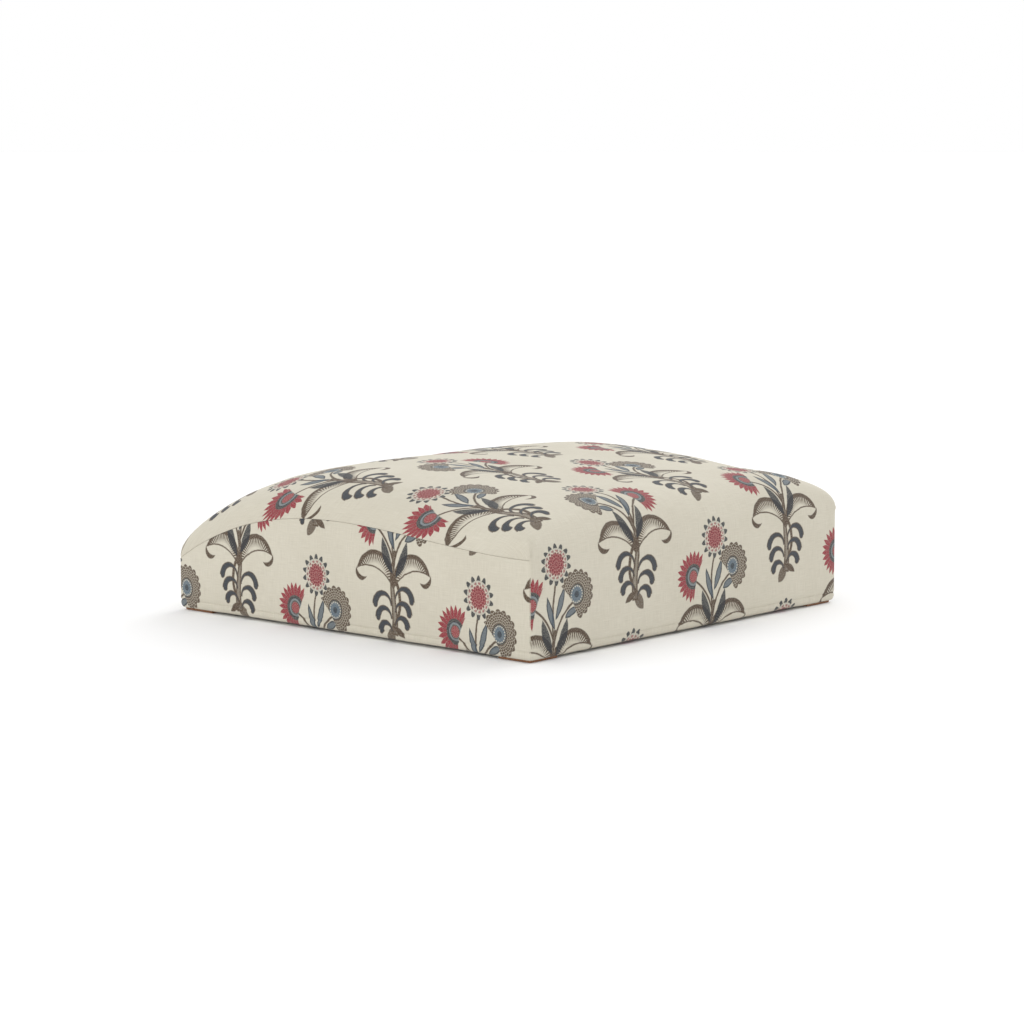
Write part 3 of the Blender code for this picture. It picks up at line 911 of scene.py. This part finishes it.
WADDING_INSET = 0.0024   # below the outside of the cover
WADDING_DEPTH = 0.0060
WADDING_SIDE = 0.0018
WADDING_EDGE = 0.011
WADDING_GAP = 0.001      # least height of its inside over its lower edge
FOAM_DEPTH = 0.0100
FOAM_INSET = 0.0150
FOAM_REAR = 0.006        # the foam stops further short of the rear
FOAM_SHIFT = 0.0080
CROWN_SIDE = 0.030       # how far the foam crown stops short of the slab's edges
CROWN_FRONT = 0.020
CROWN_REAR = 0.080
CROWN_LEAST = 0.002
CROWN_GAP = 0.0004
FOAM_BASE, FOAM_SPLIT = (corner[2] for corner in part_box("foam_slab"))
WADDING_POINTS = 72
FOAM_POINTS = 40
WADDING_ROUGH = 0.0002
FOAM_ROUGH = 0.00005
FOAM_BEVEL = 0.0015
EDGE_ANGLE = math.radians(50.0)


def dome(wide, front, rear, inset, depth, count, lowest):
    """Points over the padded shape brought in by inset and lowered by depth, over a smaller rectangle."""
    turn = np.sin(np.linspace(-1.0, 1.0, count) * math.pi / 2)
    y = (front + rear) / 2 - turn * (rear - front) / 2
    grid = points_grid(turn * wide, y[:, None], 0.0, (count, count))
    z = pad_height(grid[:, :, 0] / (HALF_W - inset), grid[:, :, 1] / (HALF_D - inset)) - depth
    grid[:, :, 2] = np.maximum(z, lowest)
    return grid


def closed_body(name, upper, lower, seed, rough, mat, bevel=0.0):
    """A closed body between two grids, with its surface slightly uneven."""
    count = upper.shape[0]
    points = np.concatenate([upper.reshape(-1, 3), lower.reshape(-1, 3)])
    points[:count * count, 2] += np.random.default_rng(seed).normal(0.0, rough, count * count)
    index = np.arange(count * count).reshape(count, count)
    rim = np.concatenate([index[0, :-1], index[:-1, -1], index[-1, :0:-1], index[:0:-1, 0]])
    beside = np.roll(rim, -1)
    above = grid_faces(count, count)
    below = above[:, :, [0, 3, 2, 1]] + count * count
    walls = np.stack([rim, beside, beside + count * count, rim + count * count], axis=1)
    faces = np.concatenate([np.stack([above, below], axis=2).reshape(-1, 4), walls])
    mesh = smooth_mesh(name, points, faces)
    mesh.materials.append(mat)
    body = place_object(name, mesh)
    if bevel:
        edges = body.modifiers.new("edges", "BEVEL")
        edges.width = bevel
        edges.segments = 2
        edges.limit_method = "ANGLE"
        edges.angle_limit = EDGE_ANGLE
    return body


def skirted(grid, floor):
    """A dome with one more ring of points, straight down to a floor."""
    count = grid.shape[0]
    ring = np.zeros((count + 2, count + 2, 3))
    ring[1:-1, 1:-1] = grid
    ring[0, 1:-1], ring[-1, 1:-1] = grid[0], grid[-1]
    ring[:, 0], ring[:, -1] = ring[:, 1], ring[:, -2]
    for edge in (ring[0], ring[-1], ring[:, 0], ring[:, -1]):
        edge[:, 2] = floor
    # Three points would fall together at each corner, so the two beside the corner move half a step along.
    for row, near_row, next_row in ((0, 1, 2), (-1, -2, -3)):
        for col, near_col, next_col in ((0, 1, 2), (-1, -2, -3)):
            ring[row, near_col] = (ring[row, near_col] + ring[row, next_col]) / 2
            ring[near_row, col] = (ring[near_row, col] + ring[next_row, col]) / 2
    return ring


def fibrous_wadding():
    """White polyester wadding: soft clumps and fine crossing fibres."""
    mat, tree, shader = new_material("polyester_wadding", 0.95)
    place = object_position(tree)
    clump = noise(tree, place, 60.0, 4.0, 0.6)
    fibre = noise(tree, stretched(tree, place, (2600.0, 180.0, 900.0)), 1.0, 3.0)
    colour = mix(tree, clump * 0.6 + fibre * 0.4, (0.74, 0.74, 0.71), (0.90, 0.90, 0.88))
    paint(tree, shader, colour)
    shader.inputs["Sheen Weight"].default_value = 0.3
    bump(tree, shader, clump + fibre * 0.5, 0.0012)
    return mat


def open_cell_foam():
    """Cut polyurethane foam with fine open cells, yellowed a little."""
    mat, tree, shader = new_material("cut_foam", 0.9)
    place = object_position(tree)
    cells = tree.nodes.new("ShaderNodeTexVoronoi")
    cells.inputs["Scale"].default_value = 900.0
    tree.links.new(place, cells.inputs["Vector"])
    depth = Number(tree, cells.outputs["Distance"])
    tone = noise(tree, place, 14.0, 3.0)
    # Each cell's hollow middle is painted darker than its rim: painted shade in the open cells, over the
    # foam's own uneven tone.
    colour = mix(tree, tone * 0.5 + depth * 0.5, (0.80, 0.70, 0.44), (0.90, 0.83, 0.62))
    paint(tree, shader, colour)
    bump(tree, shader, depth, 0.0006)
    return mat


def jute_cloth(name, pitch, stripe=None):
    """Coarse jute in a plain weave. For webbing, stripe is the axis across it and where its middle lies,
    and two darker lines are woven beside its edges."""
    mat, tree, shader = new_material(name, 0.93)
    place = object_position(tree)
    height, slub = weave(tree, place, pitch)
    tone = noise(tree, place, 35.0, 3.0)
    colour = mix(tree, slub * 0.6 + tone * 0.4, (0.30, 0.20, 0.10), (0.58, 0.44, 0.26))
    if stripe is not None:
        axis, middle = stripe
        across = split(tree, place)[axis]
        line = ramp(abs(abs(across - middle) - STRIPE_PLACE), *STRIPE_EDGE)
        colour = mix(tree, line * 0.8, colour, (0.060, 0.045, 0.035))
    paint(tree, shader, colour)
    bump(tree, shader, height, 0.0007, 0.8)
    return mat


def make_filling():
    batting = fibrous_wadding()
    foam = open_cell_foam()
    out_w, out_d = HALF_W - WADDING_INSET, HALF_D - WADDING_INSET
    in_w, in_d = out_w - WADDING_SIDE, out_d - WADDING_SIDE
    outside = dome(out_w, -out_d, out_d, WADDING_INSET, WADDING_INSET, WADDING_POINTS, 0.0)
    inside = dome(in_w, -in_d, in_d, WADDING_INSET + WADDING_SIDE, WADDING_INSET + WADDING_DEPTH,
                  WADDING_POINTS, WADDING_EDGE + WADDING_GAP)
    wadding = closed_body("wadding_layer", skirted(outside, WADDING_EDGE), skirted(inside, WADDING_EDGE), 5,
                          WADDING_ROUGH, batting)
    wide, front, rear = HALF_W - FOAM_INSET, FOAM_INSET - HALF_D, HALF_D - FOAM_INSET - FOAM_REAR
    slab = dome(wide, front, rear, FOAM_SHIFT, FOAM_DEPTH, FOAM_POINTS, 0.0)
    slab[:, :, 2] = np.minimum(slab[:, :, 2], FOAM_SPLIT)
    base = slab.copy()
    base[:, :, 2] = FOAM_BASE
    slab_piece = closed_body("foam_lower", slab, base, 6, FOAM_ROUGH, foam, FOAM_BEVEL)
    crown = dome(wide - CROWN_SIDE, front + CROWN_FRONT, rear - CROWN_REAR, FOAM_SHIFT, FOAM_DEPTH,
                 FOAM_POINTS, FOAM_SPLIT + CROWN_LEAST)
    seat = crown.copy()
    seat[:, :, 2] = FOAM_SPLIT + CROWN_GAP
    crown_piece = closed_body("foam_upper", crown, seat, 7, FOAM_ROUGH, foam, FOAM_BEVEL)
    for piece, node, slot in ((wadding, "wadding", "wadding"), (slab_piece, "foam_slab", "foam"),
                              (crown_piece, "foam_crown", "foam")):
        stand_for(piece, node, slot)


# ---- hessian and webbing ----

HESSIAN_POINTS = 72
HESSIAN_FRAY = 0.0006
HESSIAN_RIPPLE = 0.00012
HESSIAN_WAVES = (190.0, 170.0)
HESSIAN_THICKNESS = 0.0005
HESSIAN_YARN = 0.0021
WEBBING_YARN = 0.0016
WEBBING_RUNS = 4         # strips of webbing each way
STRIPE_PLACE = 0.0175    # of a stripe, from the middle of its webbing
STRIPE_EDGE = (0.0028, 0.0020)


def make_hessian():
    low_corner, high_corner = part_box("hessian")
    count = HESSIAN_POINTS
    x = np.linspace(low_corner[0], high_corner[0], count)
    y = np.linspace(high_corner[1], low_corner[1], count)
    grid = points_grid(x, y[:, None], (low_corner[2] + high_corner[2]) / 2, (count, count))
    rng = np.random.default_rng(8)
    for edge in (grid[0], grid[-1], grid[:, 0], grid[:, -1]):
        edge[:, :2] += rng.normal(0.0, HESSIAN_FRAY, (count, 2))
    across, along = HESSIAN_WAVES
    grid[:, :, 2] += HESSIAN_RIPPLE * np.sin(grid[:, :, 0] * across) * np.sin(grid[:, :, 1] * along)
    whole = np.zeros((count - 1, count - 1), bool)
    jute = jute_cloth("hessian", HESSIAN_YARN)
    cloth = thin_piece("hessian_cloth", grid, whole, HESSIAN_THICKNESS, 0.0, jute)
    stand_for(cloth, "hessian", "hessian")


def finish_webbing():
    for number in range(1, WEBBING_RUNS + 1):
        for run, axis in (("across", 1), ("along", 0)):
            name = f"webbing_{run}_{number}"
            low_corner, high_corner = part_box(name)
            dress(name, jute_cloth(name, WEBBING_YARN, (axis, (low_corner[axis] + high_corner[axis]) / 2)))


# ---- frame ----

LEG_TONES = ((0.285, 0.125, 0.048), (0.110, 0.040, 0.016))
RAIL_TONES = ((0.62, 0.44, 0.28), (0.40, 0.24, 0.13))
BRACE_TONES = ((0.60, 0.45, 0.29), (0.38, 0.25, 0.14))
LEG_ROUGHNESS = 0.42
RAIL_ROUGHNESS = 0.6
BRACE_ROUGHNESS = 0.65
# Where each piece's growth rings centre, so that no two are cut alike.
LEG_PITHS = {"front_left": (-0.30, -0.21, 0.0), "front_right": (0.19, -0.30, 0.0),
             "rear_left": (-0.16, 0.29, 0.0), "rear_right": (0.31, 0.17, 0.0)}
RAIL_PITHS = {"front": (0, (0.0, -0.20, -0.05)), "rear": (0, (0.0, 0.28, 0.13)),
              "left": (1, (-0.29, 0.0, -0.03)), "right": (1, (0.20, 0.0, 0.11))}
GRAIN_STRETCH = 0.035
RINGS = 380.0            # growth rings to a metre


def dress(node, mat):
    """Give a CAD node another material."""
    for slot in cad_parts[node].material_slots:
        slot.material = mat


def wood(name, axis, tones, roughness, pith):
    """Wood with growth rings about a pith line along one axis, fine pores and slow drifts of colour."""
    mat, tree, shader = new_material(name, roughness)
    place = object_position(tree)
    along = stretched(tree, place, tuple(GRAIN_STRETCH if k == axis else 1.0 for k in range(3)))
    drift = noise(tree, along, 26.0, 2.0)
    reach = Number(tree, vector_node(tree, "DISTANCE", along, pith, "Value")) + drift * 0.009
    late = ramp((reach * RINGS).fraction(), 0.45, 0.98)
    pore_scale = tuple(60.0 if k == axis else 2600.0 for k in range(3))
    ray_scale = tuple(9.0 if k == axis else 240.0 for k in range(3))
    pores = noise(tree, stretched(tree, place, pore_scale), 1.0, 2.0)
    ray = noise(tree, stretched(tree, place, ray_scale), 1.0, 3.0)
    shade = late * 0.34 + ray * 0.42 + ramp(pores, 0.58, 0.72) * 0.30
    paint(tree, shader, mix(tree, shade, *tones))
    bump(tree, shader, pores * -0.6 - late * 0.2, 0.00012, 0.6)
    return mat


def zinc():
    """Bright zinc plate with a faint spangle."""
    mat, tree, shader = new_material("zinc_plate", 0.36)
    spangle = noise(tree, object_position(tree), 420.0, 3.0)
    paint(tree, shader, mix(tree, spangle, (0.50, 0.50, 0.48), (0.74, 0.74, 0.71)))
    plug(tree, shader.inputs["Roughness"], spangle * 0.25 + 0.25)
    shader.inputs["Metallic"].default_value = 1.0
    return mat


STEEL = zinc()


def finish_frame():
    for corner, pith in LEG_PITHS.items():
        dress(f"leg_post_{corner}", wood(f"polished_leg_{corner}", 2, LEG_TONES, LEG_ROUGHNESS, pith))
        for screw in ("side", "end"):
            dress(f"screw_{corner}_{screw}", STEEL)
    for rail, (axis, pith) in RAIL_PITHS.items():
        dress(f"rail_{rail}", wood(f"beech_{rail}", axis, RAIL_TONES, RAIL_ROUGHNESS, pith))
    for number, corner in enumerate(LEG_PITHS):
        pith = (0.21, 0.31, 0.02 + number * 0.03)
        grain = wood(f"brace_{corner}", number % 2, BRACE_TONES, BRACE_ROUGHNESS, pith)
        dress(f"corner_brace_{corner}", grain)


# ---- dust cover and its staples ----

DUST_FOLD = 0.012        # its folded margin
DUST_THICKNESS = 0.0004
DUST_NOTCH_GAP = 0.0015  # between a notch and its leg
DUST_LIFT = 0.0005       # of the cloth over the CAD sheet's lowest level
DUST_SAG = 0.00055
DUST_WAVES = 10
DUST_WAVE_LENGTHS = (0.03, 0.11)
DUST_WAVE_HEIGHT = 0.00007
DUST_WAVE_FADE = 0.03
DUST_PULL = 0.00016      # how far each staple dents the edge
DUST_PULL_REACH = 0.018
DUST_RIDGE = 0.00018     # the step where the folded margin ends
DUST_BEND = 0.0012       # cloth taken by the fold at the edge
DUST_BEND_RADIUS = 0.0003
DUST_INNER_POINTS = 84
TOUCHING = 1e-6
DUST_ARM_POINTS = 8
STAPLE_CROWN = 0.0105
STAPLE_LEG = 0.006
STAPLE_WIRE = (0.00062, 0.00036)
STAPLE_BEND = 0.0009
STAPLE_INSET = 0.0062
STAPLE_PITCH = 0.041
STAPLE_END = 0.012       # from a leg to the staple nearest it
STAPLE_SINK = 0.0006
STAPLE_TILT = 0.07
STAPLE_STRAY = 0.0006
STAPLE_SIDES = 8


def cambric():
    """Black cambric: a fine dull weave with a faint papery sheen."""
    mat, tree, shader = new_material("black_cambric", 0.82)
    place = object_position(tree)
    height, slub = weave(tree, place, 0.0011)
    tone = noise(tree, place, 22.0, 4.0)
    colour = mix(tree, slub * 0.5 + tone * 0.5, (0.008, 0.008, 0.009), (0.026, 0.026, 0.029))
    paint(tree, shader, colour)
    shader.inputs["Sheen Weight"].default_value = 0.04
    shader.inputs["Specular IOR Level"].default_value = 0.3
    bump(tree, shader, height + tone * 2.0, 0.0002, 0.7)
    return mat


def staple_stations(half):
    return np.linspace(-half + STAPLE_END, half - STAPLE_END, int(2 * half / STAPLE_PITCH))


def dust_stations(half, notch):
    """Stations across the dust cover: its folded margin, its edge, the notch beside a leg and the middle."""
    inner = np.linspace(-notch, notch, DUST_INNER_POINTS)
    arm = np.linspace(notch, half, DUST_ARM_POINTS)[1:]
    fold = half + np.array([DUST_BEND / 2, DUST_BEND, DUST_FOLD / 3, DUST_FOLD * 2 / 3, DUST_FOLD])
    outer = np.concatenate([arm, fold])
    return np.concatenate([-outer[::-1], inner, outer])


def make_dust_cover():
    low_corner, high_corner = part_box("dust_cover")
    wide, deep = high_corner[0], high_corner[1]
    notch_w, notch_d = (leg_face(axis) - DUST_NOTCH_GAP for axis in (0, 1))
    x, y = np.meshgrid(dust_stations(wide, notch_w), dust_stations(deep, notch_d))
    at_leg = (np.abs(x) > notch_w + TOUCHING) & (np.abs(y) > notch_d + TOUCHING)
    at_leg = at_leg[::-1]
    inside = np.minimum(wide - np.abs(x), deep - np.abs(y))
    sag = np.clip(1 - (x / wide) ** 2, 0, 1) * np.clip(1 - (y / deep) ** 2, 0, 1)
    z = low_corner[2] + DUST_LIFT - DUST_SAG * sag
    rng = np.random.default_rng(9)
    for _, wave in random_waves(rng, DUST_WAVES, DUST_WAVE_LENGTHS, x, y):
        z += DUST_WAVE_HEIGHT * np.clip(inside / DUST_WAVE_FADE, 0, 1) * wave
    for along, distance in ((x, deep - np.abs(y)), (y, wide - np.abs(x))):
        pull = np.cos(along * math.tau / STAPLE_PITCH)
        z += DUST_PULL * pull * np.exp(-np.abs(distance) / DUST_PULL_REACH)
    z -= DUST_RIDGE * np.clip((DUST_FOLD - inside) / DUST_BEND, 0.0, 1.0)
    for values, half in ((x, wide), (y, deep)):
        beyond = np.abs(values) - half
        turn = np.clip(beyond / DUST_BEND, 0.0, 1.0) * math.pi
        folded = half + DUST_BEND_RADIUS * np.sin(turn) - np.maximum(beyond - DUST_BEND, 0.0)
        z += np.where(beyond > 0, DUST_BEND_RADIUS * (1 - np.cos(turn)), 0.0)
        values[:] = np.where(beyond > 0, np.sign(values) * folded, values)
    grid = np.stack([x, y, z], axis=2)[::-1]
    skip = at_leg[:-1, :-1] | at_leg[1:, 1:] | at_leg[:-1, 1:] | at_leg[1:, :-1]
    cloth = thin_piece("dust_cover_cloth", grid, skip, DUST_THICKNESS, 0.0, cambric())
    size = (2 * (wide + DUST_FOLD), 2 * (deep + DUST_FOLD))
    corners = 4 * (wide + DUST_FOLD - notch_w) * (deep + DUST_FOLD - notch_d)
    stand_for(cloth, "dust_cover", "dust_cambric")
    size[0] * size[1] - corners
    make_staples(wide, deep, notch_w, notch_d, low_corner[2])


def staple_path():
    """The centre line of a staple: up one leg, round to the crown and down the other."""
    half = STAPLE_CROWN / 2
    path = [(-half, STAPLE_LEG)]
    for turn in np.linspace(0.0, math.pi / 2, 5):
        path.append((-half + STAPLE_BEND * (1 - math.cos(turn)), STAPLE_BEND * (1 - math.sin(turn))))
    return path + [(-a, b) for a, b in path[::-1]]


def add_staple(bm, path, spot):
    """One staple of flat wire along a path, placed by a matrix."""
    side = Vector((0.0, 1.0, 0.0))
    rings = []
    for number, (a, b) in enumerate(path):
        before, after = path[max(number - 1, 0)], path[min(number + 1, len(path) - 1)]
        lift = side.cross(Vector((after[0] - before[0], 0.0, after[1] - before[1])).normalized())
        ring = []
        for angle in np.linspace(0.0, math.tau, STAPLE_SIDES, endpoint=False):
            offset = side * (STAPLE_WIRE[0] * math.cos(angle)) + lift * (STAPLE_WIRE[1] * math.sin(angle))
            ring.append(bm.verts.new(spot @ (Vector((a, 0.0, b)) + offset)))
        rings.append(ring)
    for first, second in zip(rings, rings[1:]):
        for k in range(STAPLE_SIDES):
            after = (k + 1) % STAPLE_SIDES
            bm.faces.new((first[k], first[after], second[after], second[k]))
    bm.faces.new(rings[0][::-1])
    bm.faces.new(rings[-1])


def make_staples(wide, deep, notch_w, notch_d, level):
    rng = np.random.default_rng(10)
    bm = bmesh.new()
    places = []
    for sign in (-1, 1):
        places += [(px, sign * (deep - STAPLE_INSET), 0.0) for px in staple_stations(notch_w)]
        places += [(sign * (wide - STAPLE_INSET), py, math.pi / 2) for py in staple_stations(notch_d)]
    path = staple_path()
    for px, py, turn in places:
        turn += rng.normal(0.0, STAPLE_TILT)
        px += rng.normal(0, STAPLE_STRAY)
        py += rng.normal(0, STAPLE_STRAY)
        spot = Matrix.Translation((px, py, level - STAPLE_SINK)) @ Matrix.Rotation(turn, 4, "Z")
        add_staple(bm, path, spot)
    bmesh.ops.recalc_face_normals(bm, faces=bm.faces)
    mesh = bpy.data.meshes.new("staples")
    bm.to_mesh(mesh)
    bm.free()
    mesh.polygons.foreach_set("use_smooth", [True] * len(mesh.polygons))
    mesh.materials.append(STEEL)
    staples = place_object("staples", mesh)
    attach(staples, "root")


make_filling()
make_hessian()
finish_webbing()
finish_frame()
make_dust_cover()

# ---- floor, light and camera ----

FLOOR_RADIUS = 40.0
FLOOR_TONE = 0.93
SUN_SPREAD = math.radians(50.0)
SUNS = (("key", (-1.0, 0.1, 0.20), 0.60), ("top", (0.9, 0.1, 0.50), 0.95))
CAMERA_PLACE = (-2.472, -2.184, 0.536)
CAMERA_AZIMUTH = math.radians(-48.58)
CAMERA_ELEVATION = math.radians(7.46)
CAMERA_LENS = 106.67


def make_floor():
    mat, _, shader = new_material("studio_floor", 0.9)
    shader.inputs["Base Color"].default_value = (FLOOR_TONE, FLOOR_TONE, FLOOR_TONE, 1.0)
    bm = bmesh.new()
    bmesh.ops.create_circle(bm, cap_ends=True, segments=96, radius=FLOOR_RADIUS)
    mesh = bpy.data.meshes.new("floor")
    bm.to_mesh(mesh)
    bm.free()
    mesh.materials.append(mat)
    place_object("floor", mesh)


def make_sun(name, toward, energy):
    """A wide soft light from one direction, as in a light studio."""
    light = bpy.data.lights.new(name, "SUN")
    light.energy = energy
    light.angle = SUN_SPREAD
    place_object(name, light).rotation_euler = Vector(toward).to_track_quat("Z", "Y").to_euler()


def make_camera():
    data = bpy.data.cameras.new("camera")
    data.sensor_width = 36.0
    data.lens = CAMERA_LENS
    data.clip_end = 100.0
    camera = place_object("camera", data)
    camera.location = CAMERA_PLACE
    camera.rotation_euler = (math.pi / 2 - CAMERA_ELEVATION, 0.0, CAMERA_AZIMUTH)
    bpy.context.scene.camera = camera


def make_world():
    world = bpy.data.worlds.new("studio")
    world.use_nodes = True
    background = world.node_tree.nodes["Background"]
    background.inputs["Color"].default_value = (1.0, 1.0, 1.0, 1.0)
    background.inputs["Strength"].default_value = 1.0
    bpy.context.scene.world = world


make_floor()
make_world()
for name, toward, energy in SUNS:
    make_sun(name, toward, energy)
make_camera()
bpy.context.scene.view_settings.view_transform = "Standard"
